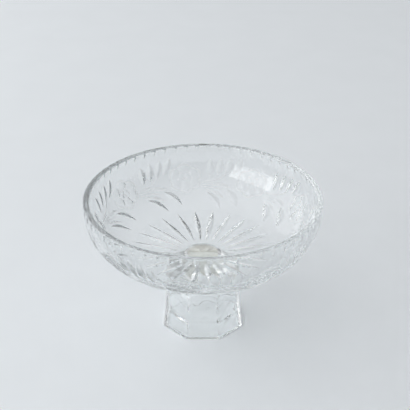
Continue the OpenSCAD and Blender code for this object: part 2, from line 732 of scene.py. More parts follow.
@dataclass(frozen=True)
class Spray:
    """One repeat of the vine: a flower, stems that climb away from it, and leaves over and under them.

    Places of leaves and stems are degrees from the flower's centre, along the way the vine runs, which
    is clockwise, and millimetres along the section from the axis.
    """

    # The flower's centre, round the axis and along the section, and how much wider than high it is.
    flower_at: float = 140.5
    flower_along: float = 126.0
    flower_stretch: float = 1.2
    outer: PetalRing = PetalRing(
        count=6,
        turn=90.0,
        hollow_ring=10.6,
        half_length=6.2,
        half_width=7.0,
        depth=1.25,
        edge_ring=14.8,
        edge_depth=0.5,
        edge_half_width=2.6,
        edge_bow=3.4,
    )
    inner: PetalRing = PetalRing(
        count=5,
        turn=54.0,
        hollow_ring=4.4,
        half_length=3.8,
        half_width=4.4,
        depth=0.95,
        edge_ring=6.8,
        edge_depth=0.7,
        edge_half_width=2.4,
        edge_bow=2.0,
    )
    edge_steps: int = 10
    # The grooves across the bud: their number, half the height of a groove in the middle and how much is
    # lost outward, the step from one to the next, the share of the height that is cut, and their slant.
    bud_lines: int = 4
    bud_half: float = 3.4
    bud_fall: float = 0.55
    bud_step: float = 1.25
    bud_share: float = 0.7
    bud_slant: float = 0.3
    bud_depth: float = 0.55
    bud_half_width: float = 0.9
    bud_steps: int = 6
    # The row of leaves over the stem: where the first stands, and what each one after it changes by.
    over_count: int = 4
    over_first: float = 14.5
    over_step: float = 4.4
    over_base: float = 127.0
    over_climb: float = 2.0
    over_length: float = 22.0
    over_shrink: float = 0.6
    over_lean: float = 1.5
    over_depth: float = 2.05
    over_half_width: float = 4.7
    over_bow: float = -1.0
    over_matt: float = 0.6
    # The fan of fine lines at the flower's side: where the first runs, and how the others fall away.
    fan_count: int = 3
    fan_from: Place = (9.6, 119.5)
    fan_drop: float = 2.0
    fan_to: Place = (19.0, 121.0)
    fan_spread: float = 1.6
    fan_fall: float = 4.2
    fan_depth: float = 0.4
    fan_half_width: float = 1.2
    fan_bow: float = 0.7
    # Two slim leaves and two bold ones under the stem.
    under_leaves: tuple[MitreCut, ...] = (
        MitreCut((18.0, 119.0), (28.0, 115.5), depth=0.8, half_width=2.4, bow=0.8),
        MitreCut((12.5, 113.0), (25.0, 101.0), depth=0.7, half_width=2.2, bow=1.2),
        MitreCut((13.0, 108.5), (23.5, 86.5), depth=2.0, half_width=5.2, bow=1.2, matt=0.5),
        MitreCut((25.5, 113.5), (35.5, 92.0), depth=2.0, half_width=5.2, bow=1.2, matt=0.5),
    )
    stems: tuple[MitreCut, ...] = (
        MitreCut((9.5, 120.5), (21.5, 126.0), depth=0.45, half_width=1.1, bow=-0.8),
        MitreCut((19.0, 124.0), (27.5, 139.0), depth=0.45, half_width=1.1, bow=-1.0),
    )

    def over_leaves(self) -> list[MitreCut]:
        """Lists the row of leaves over the stem: each stands a step on, leans more and is shorter.

        Returns:
            Grooves, given from the flower's centre.
        """
        leaves = []
        for k in range(self.over_count):
            base = self.over_first + k * self.over_step
            foot = self.over_base + k * self.over_climb
            tip = (base + k * self.over_lean, foot + self.over_length - self.over_shrink * k)
            leaves.append(
                MitreCut(
                    (base, foot), tip, self.over_depth, self.over_half_width, self.over_bow, self.over_matt
                )
            )
        return leaves

    def fan(self) -> list[MitreCut]:
        """Lists the fine lines beside the flower: each starts a step lower and falls away more.

        Returns:
            Grooves, given from the flower's centre.
        """
        lines = []
        for k in range(self.fan_count):
            start = (self.fan_from[0], self.fan_from[1] - self.fan_drop * k)
            end = (self.fan_to[0] + self.fan_spread * k, self.fan_to[1] - self.fan_fall * k)
            lines.append(MitreCut(start, end, self.fan_depth, self.fan_half_width, self.fan_bow))
        return lines

    def leaves(self) -> list[MitreCut]:
        """Lists all leaves and stems, moved from the flower's centre to their places round the axis.

        Returns:
            The grooves.
        """
        at = self.flower_at
        return [
            replace(cut, start=(at - cut.start[0], cut.start[1]), end=(at - cut.end[0], cut.end[1]))
            for cut in (*self.over_leaves(), *self.under_leaves, *self.fan(), *self.stems)
        ]

    def round_flower(self, ring: float, way: float) -> Place:
        """A place in the flower: its centre plus a ring's radius times (cos, sin), stretched sideways."""
        shift = np.degrees(self.flower_stretch * ring * np.cos(np.radians(way)) / PetalCut.radius)
        return self.flower_at + float(shift), self.flower_along + ring * float(np.sin(np.radians(way)))

    def petals(self) -> list[PetalCut]:
        """Lists the flower's hollows: a ring of broad outer petals, and smaller ones within.

        Returns:
            The hollows.
        """
        hollows = []
        for ring in (self.outer, self.inner):
            for way in ring.ways():
                centre = self.round_flower(ring.hollow_ring, way)
                hollows.append(PetalCut(centre, ring.half_length, ring.half_width, float(way), ring.depth))
        return hollows

    def petal_edges(self) -> list[MitreCut]:
        """Lists the bowed grooves round the petals, from half a petal before each to half a petal after.

        Returns:
            The grooves.
        """
        edges = []
        for ring in (self.outer, self.inner):
            half = 180 / ring.count
            for way in ring.ways():
                edges.append(
                    MitreCut(
                        self.round_flower(ring.edge_ring, way + half),
                        self.round_flower(ring.edge_ring, way - half),
                        ring.edge_depth,
                        ring.edge_half_width,
                        -ring.edge_bow,
                        radius=PetalCut.radius,
                        steps=self.edge_steps,
                    )
                )
        return edges

    def bud(self) -> list[MitreCut]:
        """Lists the slanting grooves across the bud in the flower's middle, shorter by the square outward.

        Returns:
            The grooves.
        """
        lines = []
        for k in np.arange(self.bud_lines) - (self.bud_lines - 1) / 2:
            half = self.bud_half - self.bud_fall * k**2
            side = self.round_flower(self.bud_step * abs(k), 0.0 if k > 0 else 180.0)[0]
            start, end = (
                (side + t * self.bud_slant * half, self.flower_along + t * half)
                for t in (-self.bud_share, self.bud_share)
            )
            lines.append(
                MitreCut(
                    start,
                    end,
                    self.bud_depth,
                    self.bud_half_width,
                    radius=PetalCut.radius,
                    steps=self.bud_steps,
                )
            )
        return lines


@dataclass
class CutBowl:
    """The shallow bowl: a turned wall with a notched rim, a ray star under the floor, and a cut vine.

    The half section outside is flat under the pad, follows a long arc, and then a side arc that stands
    upright at the widest point. Inside, a longer arc and another side arc run up to the rounded rim. The
    outside is unrolled flat, triangulated so that every edge of every cut is an edge of the mesh, sunk by
    the depth of the cuts, and rolled up again.
    """

    node: str = "bowl"
    pad_r: float = 20.0
    lip_h: float = 7.5
    bottom_r: float = 324.0
    floor_r: float = 520.0
    wall_t: float = 6.2
    floor_t: float = 9.0
    inner_round: float = 2.0
    outer_round: float = 0.5
    spray: Spray = field(default_factory=Spray)

    # Where the outside is unrolled, and at what distance from the axis it keeps its width.
    seam: float = -5.25
    unrolled_r: float = 118.0
    # Columns of the plain wall at full_r and beyond it. Nearer the axis there are fewer groups of them.
    columns: int = 480
    column_group: int = 24
    full_r: float = 80.0
    pad_columns: int = 144
    # Rows of the plain wall from the pad to the end of the star, on to the widest point, and to the rim.
    star_along: float = 84.0
    star_rows: int = 17
    vine_rows: int = 24
    lip_rows: int = 4
    # The least by which a wheel passes clear of the points of the plain wall, and the least depth at the
    # closer points in a flower, with the radius and the step of their grid.
    clear: float = 0.18
    hollow_clear: float = 0.08
    flower_r: float = 22.0
    flower_step: float = 1.1
    # Rows of the rim's outer and inner rounding, of the wall and the floor inside, and of the pad, which
    # are shares of its radius.
    edge_rows: int = 5
    roll_rows: int = 7
    inner_rows: int = 26
    floor_rows: int = 14
    pad_shares: tuple[float, ...] = (0.45, 0.85)
    # How far the corners of a triangle are drawn towards its middle to be shaded.
    pull: float = 0.12
    # Distances within which the triangulation joins points, points count as being on a line, and the two
    # sides of the seam match.
    weld: float = 1e-5
    on_line: float = 1e-4
    seam_gap: float = 0.01

    def __post_init__(self) -> None:
        """Takes the bowl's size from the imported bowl, works out its curves and lists its cuts."""
        low, high = node_box(self.node)
        self.wide_r = float((high - low)[:2].min()) / 2
        self.pad_z, self.rim_z = float(low[2]), float(high[2])
        self.wide_z = self.rim_z - self.lip_h
        self.long_c = self.pad_z + np.sqrt(self.bottom_r**2 - self.pad_r**2)
        self.side_r, self.join = self.side_curve(self.bottom_r, self.long_c, self.wide_r)
        self.long_start = float(np.arcsin(self.pad_r / self.bottom_r))
        self.join_along = self.pad_r + self.bottom_r * (self.join - self.long_start)
        self.wide_along = self.join_along + self.side_r * (np.pi / 2 - self.join)
        self.rim_along = float(self.wide_along + self.side_r * np.arcsin(self.lip_h / self.side_r))
        self.top_along = self.rim_along - self.outer_round
        self.rim_tilt = float(self.outside(np.array([self.top_along]))[2][0])
        self.notch = RimNotch(self.rim_along, self.top_along, self.side_r)
        vine = [*self.spray.leaves(), *self.spray.petals(), *self.spray.petal_edges(), *self.spray.bud()]
        self.cuts: list[Cut] = [self.notch, Ray(lambda along: self.outside(along)[0]), *vine]

    def side_curve(self, long_r: float, long_c: float, wide_r: float) -> tuple[float, float]:
        """Radius of a side arc that is upright at the widest point and tangent to a long arc.

        Args:
            long_r: Radius of the long arc.
            long_c: Height of its centre, which is on the axis.
            wide_r: Distance of the widest point from the axis.

        Returns:
            The radius, and the angle from straight down where the arcs meet.
        """
        drop = long_c - self.wide_z
        radius = (long_r**2 - wide_r**2 - drop**2) / (2 * (long_r - wide_r))
        return radius, float(np.arctan2(wide_r - radius, drop))

    def outside(self, along: Array) -> tuple[Array, Array, Array]:
        """The outside of the half section, from the edge of the pad to the rim.

        Each arc is centre + R (sin a, -cos a), where a is the angle of its normal from straight down and
        grows by the distance along it over R.

        Args:
            along: Distances along the section from the axis.

        Returns:
            Radius, height, and angle of the normal from straight down.
        """
        on_long = self.long_start + (along - self.pad_r) / self.bottom_r
        on_side = self.join + (along - self.join_along) / self.side_r
        low = along < self.join_along
        tilt = np.where(low, on_long, on_side)
        curve_r = np.where(low, self.bottom_r, self.side_r)
        radius = np.where(low, 0.0, self.wide_r - self.side_r) + curve_r * np.sin(tilt)
        height = np.where(low, self.long_c, self.wide_z) - curve_r * np.cos(tilt)
        return radius, height, tilt

    def inside(self) -> tuple[Array, Array, Array]:
        """The rim's inner rounding and the inside of the half section, from the rim's top to the axis.

        Returns:
            Radius, height, and angle of the normal from straight down, of each row.
        """
        long_c = self.pad_z + self.floor_t + self.floor_r
        wide_r = self.wide_r - self.wall_t
        side_r, join = self.side_curve(self.floor_r, long_c, wide_r)
        middle_r = wide_r - side_r
        lift = self.lip_h - self.inner_round
        round_r = middle_r + np.sqrt((side_r + self.inner_round) ** 2 - lift**2)
        lean = np.arctan2(lift, round_r - middle_r)
        roll = np.linspace(np.pi, 1.5 * np.pi + lean, self.roll_rows)
        wall = np.linspace(np.pi / 2 + lean, join, self.inner_rows)[1:]
        floor = np.linspace(join, 0.0, self.floor_rows)[1:-1]
        radius = [
            round_r + self.inner_round * np.sin(roll),
            middle_r + side_r * np.sin(wall),
            self.floor_r * np.sin(floor),
        ]
        height = [
            self.rim_z - self.inner_round - self.inner_round * np.cos(roll),
            self.wide_z - side_r * np.cos(wall),
            long_c - self.floor_r * np.cos(floor),
        ]
        tilt = np.concatenate([roll, wall + np.pi, floor + np.pi])
        return np.concatenate(radius), np.concatenate(height), tilt

    def depth(self, angle: Array, along: Array) -> tuple[Array, Array]:
        """What the wheels take off at each place: as much as the deepest cut there.

        Args:
            angle: Angles round the axis in degrees.
            along: Distances along the section.

        Returns:
            The depth of the deepest cut, and how matt it is.
        """
        deepest, matt = np.zeros_like(angle), np.zeros_like(angle)
        for cut in self.cuts:
            reach = cut.reach(angle, along)
            matt = np.where(reach > deepest, cut.matt, matt)
            deepest = np.maximum(deepest, reach)
        return deepest, matt

    def wall_points(self) -> Array:
        """Lists the mesh points of the plain wall, in rows that have more points further from the axis.

        Points in a cut, or so close to one that they would make slivers, are left out, but not on the
        edges of the unrolled wall.

        Returns:
            Angle and distance along of each point.
        """
        rows = np.concatenate(
            [
                np.linspace(self.pad_r, self.star_along, self.star_rows),
                np.linspace(self.star_along, self.wide_along, self.vine_rows)[1:],
                np.linspace(self.wide_along, self.top_along, self.lip_rows)[1:],
            ]
        )
        points = []
        for k, row in enumerate(rows):
            share = min(1.0, float(self.outside(np.array([row]))[0][0]) / self.full_r)
            groups = round(self.columns * share / self.column_group)
            count = groups * self.column_group if k > 0 else self.pad_columns
            angle = self.seam + np.arange(count + 1) * 360 / count
            along = np.full(count + 1, row)
            kept = np.ones(count + 1, dtype=bool)
            if 0 < k < len(rows) - 1:
                kept = np.max([cut.reach(angle, along) for cut in self.cuts], axis=0) < -self.clear
                kept[[0, -1]] = True
            points.append(np.stack([angle, along], axis=-1)[kept])
        return np.concatenate(points)

    def flower_points(self) -> Array:
        """Lists the closer mesh points inside the flowers, where hollows overlap: a square grid in each.

        Returns:
            Angle and distance along of each point.
        """
        line = np.arange(-self.flower_r, self.flower_r + self.flower_step / 2, self.flower_step)
        x, y = (v.ravel() for v in np.meshgrid(line, line))
        near = np.hypot(x, y) < self.flower_r
        at = self.spray.flower_at + np.degrees(x[near] / PetalCut.radius)
        up = self.spray.flower_along + y[near]
        sunk = np.max([petal.reach(at, up) for petal in self.spray.petals()], axis=0) > self.hollow_clear
        turns = np.arange(0.0, 360.0, PetalCut.period)[:, None]
        angle = (at[sunk] + turns - self.seam) % 360.0 + self.seam
        return np.stack([angle, up[sunk] + 0 * turns], axis=-1).reshape(-1, 2)

    def cut_lines(self) -> list[Array]:
        """Lists the edges of all cuts, repeated round the axis, and twice where one crosses the seam.

        Returns:
            Rows of angle and distance along.
        """
        lines = []
        for cut in self.cuts:
            for line in cut.lines():
                for turn in np.arange(0.0, 360.0, cut.period):
                    moved = line + (turn, 0.0)
                    shift = np.floor((moved[:, 0].min() - self.seam) / 360.0) * 360.0
                    for wrap in (0.0, 360.0):
                        copy = moved - (shift + wrap, 0.0)
                        if copy[:, 0].max() > self.seam and copy[:, 0].min() < self.seam + 360.0:
                            lines.append(copy)
        return lines

    def triangulated(self) -> tuple[Array, Index]:
        """Triangulates the unrolled outside with all edges of the cuts as edges of the mesh.

        Returns:
            Angle and distance along of each point, with the seam closed, and the triangles.
        """
        plain = np.concatenate([self.wall_points(), self.flower_points()])
        lines = self.cut_lines()
        sides = (self.seam, self.seam + 360.0)
        corners = np.array([[a, s] for a in sides for s in (self.pad_r, self.top_along)])
        edges: list[tuple[int, int]] = []
        count = len(plain)
        for line in lines:
            edges += zip(range(count, count + len(line) - 1), range(count + 1, count + len(line)))
            count += len(line)
        edges += [(count + i, count + j) for i, j in ((0, 1), (2, 3), (0, 2), (1, 3))]
        scale = (np.radians(1.0) * self.unrolled_r, 1.0)
        flat = np.concatenate([plain, *lines, corners]) * scale
        # The zero asks for all triangles, and those past the edges of the unrolled wall are dropped later.
        vertices, _, triangles, *_ = delaunay_2d_cdt([Vector(p) for p in flat], edges, [], 0, self.weld)
        place = np.array([tuple(v) for v in vertices]) / scale
        corner = np.array(triangles)
        angle, along = place[corner].mean(axis=1).T
        held = (angle > sides[0]) & (angle < sides[1]) & (along > self.pad_r) & (along < self.top_along)
        return self.close_seam(place, corner[held])

    def close_seam(self, place: Array, corner: Index) -> tuple[Array, Index]:
        """Joins each point on the far side of the seam to its partner on the near side.

        Args:
            place: Angle and distance along of each point.
            corner: The triangles.

        Returns:
            The points that are still used, and the triangles that use them.
        """
        used = np.unique(corner)
        near = used[np.abs(place[used, 0] - self.seam) < self.on_line]
        far = used[np.abs(place[used, 0] - self.seam - 360.0) < self.on_line]
        near, far = (v[np.argsort(place[v, 1])] for v in (near, far))
        if len(near) != len(far) or np.abs(place[near, 1] - place[far, 1]).max() > self.seam_gap:
            raise ValueError("the two sides of the seam do not match")
        partner = np.arange(len(place))
        partner[far] = near
        kept = np.setdiff1d(used, far)
        index = np.full(len(place), -1)
        index[kept] = np.arange(len(kept))
        return place[kept], index[partner[corner]]

    def row_at(self, place: Array, level: float) -> Index:
        """Indices of the points at one distance along, in order round the axis."""
        row = np.flatnonzero(np.abs(place[:, 1] - level) < self.on_line)
        return row[np.argsort(place[row, 0] % 360.0)]

    def sunk(self, angle: Array, along: Array) -> Array:
        """Rolls places up into the round again, each sunk below the surface by the depth of the cuts.

        The wheels come square to the wall, but from the side at the rim, so that its edge stays level.

        Args:
            angle: Angles round the axis in degrees.
            along: Distances along the section.

        Returns:
            Points in millimetres.
        """
        depth, _ = self.depth(angle, along)
        radius, height, tilt = self.outside(along)
        rim = along > self.rim_along - self.notch.height
        radius = radius - depth * np.where(rim, 1.0, np.sin(tilt))
        height = height + depth * np.where(rim, 0.0, np.cos(tilt))
        turn = np.radians(angle)
        return np.stack([radius * np.cos(turn), radius * np.sin(turn), height], axis=-1)

    def shading(self, angle: Array, along: Array, step: float = 0.02) -> tuple[Array, Array]:
        """Works out the true direction of the cut surface: N + (dh/du) U + (dh/dv) V for a depth h.

        Args:
            angle: Angles round the axis in degrees.
            along: Distances along the section.
            step: Distance over which the slope of the depth is taken.

        Returns:
            Unit normals, and how matt each place is.
        """
        radius, _, tilt = self.outside(along)
        side = np.degrees(step / radius)
        across = (self.depth(angle + side, along)[0] - self.depth(angle - side, along)[0]) / (2 * step)
        upward = (self.depth(angle, along + step)[0] - self.depth(angle, along - step)[0]) / (2 * step)
        turn = np.radians(angle)
        round_way = np.stack([-np.sin(turn), np.cos(turn), np.zeros_like(turn)], axis=-1)
        up_way = facing(tilt + np.pi / 2, turn)
        way = facing(tilt, turn) + across[..., None] * round_way + upward[..., None] * up_way
        return way / np.linalg.norm(way, axis=-1, keepdims=True), self.depth(angle, along)[1]

    def corner_shading(self, place: Array, corner: Index) -> tuple[Array, Array]:
        """Shades each corner from a place a little inside its triangle, so that edges stay crisp.

        Args:
            place: Angle and distance along of each point.
            corner: The triangles.

        Returns:
            Unit normals, and how matt each corner is.
        """
        spot = place[corner]
        first = spot[:, :1, 0]
        spot[..., 0] = first + wrapped(spot[..., 0] - first, 360.0)
        spot += self.pull * (spot.mean(axis=1, keepdims=True) - spot)
        return self.shading(spot[..., 0].ravel(), spot[..., 1].ravel())

    def rim_and_inside(self, cut_r: Array) -> tuple[Array, Array, Array]:
        """The rows from the cut edge of the rim over its roundings and down the inside.

        Args:
            cut_r: Distance of the cut edge from the axis, for each column.

        Returns:
            Distances from the axis, by row and column, and the height and tilt of each row.
        """
        edge = np.linspace(self.rim_tilt, np.pi, self.edge_rows)[1:]
        edge_r = cut_r + self.outer_round * (np.sin(edge) - np.sin(self.rim_tilt))[:, None]
        edge_z = self.rim_z - self.outer_round * (1 + np.cos(edge))
        inside_r, inside_z, inside_tilt = self.inside()
        radius = np.concatenate([edge_r, inside_r[:, None] + 0 * cut_r])
        return radius, np.concatenate([edge_z, inside_z]), np.concatenate([edge, inside_tilt])

    def dress(self, piece: bpy.types.Object, ways: Array, matt: Array) -> None:
        """Gives the mesh its true normals, and marks how matt its cuts are.

        Args:
            piece: The bowl.
            ways: Unit normals of all face corners.
            matt: How matt the corners of the outside are, which come first.
        """
        piece.data.normals_split_custom_set(ways.tolist())
        marks = np.zeros(len(piece.data.loops), dtype=np.float32)
        marks[: len(matt)] = matt
        piece.data.attributes.new(ENGRAVED, "FLOAT", "CORNER").data.foreach_set("value", marks)

    def build(self, material: bpy.types.Material) -> bpy.types.Object:
        """Makes the bowl's mesh: the cut outside, the pad, the rim and the inside, with its true normals.

        Args:
            material: Its finish.

        Returns:
            The piece.
        """
        place, corner = self.triangulated()
        skin = self.sunk(*place.T)
        skin_way, matt = self.corner_shading(place, corner)
        top, low = self.row_at(place, self.top_along), self.row_at(place, self.pad_r)
        rim_turn, pad_turn = np.radians(place[top, 0]), np.radians(place[low, 0])
        upper_r, upper_z, upper_tilt = self.rim_and_inside(np.hypot(*skin[top, :2].T))
        upper_rows = turned(upper_r, upper_z, rim_turn)
        pad_r = np.array(self.pad_shares) * self.pad_r
        pad_rows = turned(pad_r, np.full_like(pad_r, self.pad_z), pad_turn)
        poles = np.array([[0, 0, self.pad_z], [0, 0, self.pad_z + self.floor_t]])
        points = np.concatenate([skin, upper_rows, pad_rows, poles])

        first_upper, first_pad = len(skin), len(skin) + len(upper_rows)
        pole = first_pad + len(pad_rows)
        upper = np.concatenate([top, np.arange(first_upper, first_pad)])
        pad = np.concatenate([np.arange(first_pad, pole), low])
        faces = [
            corner,
            upper[ring_faces(len(upper_r) + 1, len(top))],
            pad[ring_faces(len(pad_r) + 1, len(low))],
            fan_faces(pole, len(low), first_pad, True),
            fan_faces(pole + 1, len(top), first_pad - len(top), False),
        ]
        piece = make_piece("cut_bowl", points, faces, material)

        way = np.zeros_like(points)
        way[pad] = way[pole] = (0, 0, -1)
        way[top] = facing(self.rim_tilt, rim_turn)
        way[first_upper:first_pad] = facing(upper_tilt[:, None], rim_turn).reshape(-1, 3)
        way[pole + 1] = (0, 0, 1)
        rest = np.concatenate([part.ravel() for part in faces[1:]])
        self.dress(piece, np.concatenate([skin_way, way[rest]]), matt)
        place_piece(piece, self.node)
        return piece


@dataclass
class PedestalFoot:
    """The hollow eight-sided foot: a flared base tier, a small step, and a column with a rounded shoulder.

    The distance of a flat from the axis follows the outline. Round the axis it is divided by the p-norm
    of the cosines to the eight flats, so that the flats are true and the corners are slightly rounded.
    """

    node: str = "pedestal_foot"
    sides: int = 8
    corner_power: float = 70.0
    tier_h: float = 20.0
    tier_flare: float = 2.5
    step_w: float = 0.8
    column_taper: float = 1.4
    wall_t: float = 5.9
    hollow_taper: float = 4.0
    crown_t: float = 15.0
    pad_r: float = 20.0
    shoulder_h: float = 25.0
    dome_h: float = 24.0
    bevel: float = 0.8
    # The roof of the hollow: its height, and the powers that flatten it and draw its rows to the wall.
    roof_z: float = 60.0
    roof_power: float = 3.0
    row_power: float = 0.6
    # The hollow's ripple: its size, and for each wave its count round the axis, the height in which it
    # turns by one radian, its share and its shift.
    ripple: float = 0.5
    waves: tuple[tuple[int, float, float, float], ...] = ((5, 3.5, 1.0, 0.0), (13, -2.6, 0.7, 1.0))
    # The mesh: its columns and rows, and rows close to the edges that keep their rounding narrow.
    columns_per_side: int = 24
    wall_rows: int = 15
    shoulder_rows: int = 18
    roof_rows: int = 24
    top_shares: tuple[float, ...] = (0.5, 0.9)
    tier_support: float = 1.4
    ring_support: float = 0.8
    # Steps of the search for where a wall meets its dome, and the angle from which an edge is crisp.
    meeting_steps: int = 30
    crease: float = 60.0

    def __post_init__(self) -> None:
        """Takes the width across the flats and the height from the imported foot."""
        low, high = node_box(self.node)
        self.half, self.top_z = float(high[0] - low[0]) / 2, float(high[2])
        self.step_z = self.tier_h + self.step_w

    def columns(self) -> Array:
        """Angles of the columns, close together at the corners: each half side is squeezed by 1-(1-u)^2.

        Returns:
            Angles in radians.
        """
        u = np.linspace(-1, 1, self.columns_per_side, endpoint=False)
        squeezed = np.sign(u) * (1 - (1 - np.abs(u)) ** 2)
        side = np.radians(360 / self.sides) * np.arange(self.sides)
        return (side[:, None] + np.radians(180 / self.sides) * squeezed).ravel()

    def spread(self, angles: Array) -> Array:
        """Distance from the axis over the distance of a flat: one over the p-norm of the cosines.

        Args:
            angles: Angles of the columns in radians.

        Returns:
            The share for each column.
        """
        flats = np.radians(360 / self.sides) * np.arange(self.sides)
        cosines = np.maximum(np.cos(angles - flats[:, None]), 0.0)
        return (cosines**self.corner_power).sum(axis=0) ** (-1 / self.corner_power)

    def column_at(self, z: Array) -> Array:
        """Half width of the column across its flats at a height."""
        lean = self.column_taper * (z - self.step_z) / (self.top_z - self.step_z)
        return self.half - self.tier_flare - self.step_w - lean

    def hollow_at(self, z: Array) -> Array:
        """Half width of the hollow across its flats at a height."""
        return self.half - self.wall_t - self.hollow_taper * z / (self.top_z - self.crown_t)

    def dome(self, half_at: Callable[[Array], Array], height: float, end: Place) -> tuple[float, float]:
        """The sphere, centred on the axis, through the corners of a wall and the place where it ends.

        Args:
            half_at: Half width of the wall at a height.
            height: Height of the sphere's end over the corners.
            end: Distance from the axis and height where it ends.

        Returns:
            Height of its centre, and its radius.
        """
        low = end[1] - height
        corner = float(half_at(np.array(low)) / np.cos(np.pi / self.sides))
        centre = (np.hypot(corner, low) ** 2 - np.hypot(*end) ** 2) / (2 * (low - end[1]))
        return float(centre), float(np.hypot(end[0], end[1] - centre))

    def wall(
        self, low: float, half_at: Callable[[Array], Array], dome: tuple[float, float], spread: Array
    ) -> tuple[Array, Array]:
        """An eight-sided wall, as rows from its foot up to where its distance from the axis reaches a dome.

        Args:
            low: Height of the wall's foot.
            half_at: Half width of the wall at a height.
            dome: Height of the dome's centre, and its radius.
            spread: Distance from the axis over the distance of a flat, for each column.

        Returns:
            Distance from the axis and height, by row and column.
        """
        centre, radius = dome
        meet = np.full_like(spread, centre)
        for _ in range(self.meeting_steps):
            meet = centre + np.sqrt(radius**2 - (half_at(meet) * spread) ** 2)
        z = low + np.linspace(0, 1, self.wall_rows)[:, None] * (meet - low)
        return half_at(z) * spread, z

    def column(self, spread: Array) -> tuple[Array, Array]:
        """The column and its shoulder, which follows a sphere in to the pad, as rows from the step up.

        Args:
            spread: Distance from the axis over the distance of a flat, for each column.

        Returns:
            Distance from the axis and height, by row and column.
        """
        centre, radius = self.dome(self.column_at, self.shoulder_h, (self.pad_r, self.top_z))
        wall_r, wall_z = self.wall(self.step_z, self.column_at, (centre, radius), spread)
        inward = np.linspace(1, 0, self.shoulder_rows + 1)[1:, None]
        round_r = self.pad_r + inward * (wall_r[-1] - self.pad_r)
        round_z = centre + np.sqrt(radius**2 - round_r**2)
        return np.concatenate([wall_r, round_r]), np.concatenate([wall_z, round_z])

    def base(self, spread: Array) -> tuple[Array, Array]:
        """The base tier and the ring under it, as rows from the step down and in to the hollow's mouth.

        Args:
            spread: Distance from the axis over the distance of a flat, for each column.

        Returns:
            Distance from the axis and height, by row and column.
        """
        high, low = self.tier_h, self.bevel
        tier_z = np.array([high, high - self.tier_support, low + self.tier_support, low])
        tier = self.half - self.tier_flare * (tier_z - low) / (high - low)
        outer, inner = self.half - self.bevel, self.half - self.wall_t + self.bevel
        ring = np.array([outer, outer - self.ring_support, inner + self.ring_support, inner])
        radius = np.concatenate([tier, ring])[:, None] * spread
        return radius, np.concatenate([tier_z, np.zeros_like(ring)])[:, None] + 0 * radius

    def hollow(self, angles: Array, spread: Array) -> tuple[Array, Array]:
        """The hollow's rippled wall, as in the CAD, under a roof that is flatter than its dome.

        Going in from the wall, the share of its rise that the roof has made is (1 - f^p)^(1/p), where f
        is the share of the way to the axis that is left. The ripple is a sum of sines, which dies away
        as a sine at the mouth and the top.

        Args:
            angles: Angles of the columns in radians.
            spread: Distance from the axis over the distance of a flat, for each column.

        Returns:
            Distance from the axis and height, by row and column.
        """
        dome = self.dome(self.hollow_at, self.dome_h, (0.0, self.top_z - self.crown_t))
        wall_r, wall_z = self.wall(self.bevel, self.hollow_at, dome, spread)
        left = np.linspace(1, 0, self.roof_rows + 1)[1:, None] ** self.row_power
        rise = (1 - left**self.roof_power) ** (1 / self.roof_power)
        radius = np.concatenate([wall_r, left * wall_r[-1]])
        z = np.concatenate([wall_z, wall_z[-1] + (self.roof_z - wall_z[-1]) * rise])
        fade = np.sin(np.pi * (z - z[0]) / (z[-1] - z[0]))
        waves = sum(
            size * np.sin(count * angles + z / climb + shift) for count, climb, size, shift in self.waves
        )
        return radius + self.ripple * fade * waves, z

    def set_edges(self, piece: bpy.types.Object, columns: int, pad_row: int, hollow_row: int) -> None:
        """Marks which edges are crisp: those of the ground pad and the outside, and none in the hollow.

        The hollow is pressed and fire-polished, so its own edges are soft.

        Args:
            piece: The foot.
            columns: Number of its columns.
            pad_row: The row on the edge of the pad.
            hollow_row: The first row of the hollow.
        """
        mesh = piece.data
        mesh.set_sharp_from_angle(angle=np.radians(self.crease))
        ends = np.zeros(2 * len(mesh.edges), dtype=np.int32)
        mesh.edges.foreach_get("vertices", ends)
        ends = ends.reshape(-1, 2)
        sharp = np.zeros(len(mesh.edges), dtype=bool)
        marks = mesh.attributes["sharp_edge"].data
        marks.foreach_get("value", sharp)
        soft = ends.min(axis=1) >= hollow_row * columns
        on_pad = (ends // columns == pad_row).all(axis=1)
        marks.foreach_set("value", (sharp & ~soft) | on_pad)

    def build(self, material: bpy.types.Material) -> bpy.types.Object:
        """Makes the foot's mesh, from the top down the outside, under the base ring and up the hollow.

        Args:
            material: Its finish.

        Returns:
            The piece.
        """
        angles = self.columns()
        spread = self.spread(angles)
        column_r, column_z = self.column(spread)
        base_r, base_z = self.base(spread)
        hollow_r, hollow_z = (part[:-1] for part in self.hollow(angles, spread))
        top_r = np.array(self.top_shares)[:, None] * column_r[-1]
        radius = np.concatenate([top_r, column_r[::-1], base_r, hollow_r])
        z = np.concatenate([self.top_z + 0 * top_r, column_z[::-1], base_z, hollow_z])
        poles = np.array([[0, 0, self.top_z], [0, 0, self.roof_z]])
        points = np.concatenate([turned(radius, z, angles), poles])
        rows, columns = radius.shape
        # The rows run down the outside, so the faces are turned over to point outward.
        faces = [part[:, ::-1] for part in closed_faces(rows, columns)]
        piece = make_piece("eight_sided_foot", points, faces, material)
        self.set_edges(piece, columns, len(top_r), rows - len(hollow_r))
        place_piece(piece, self.node)
        return piece


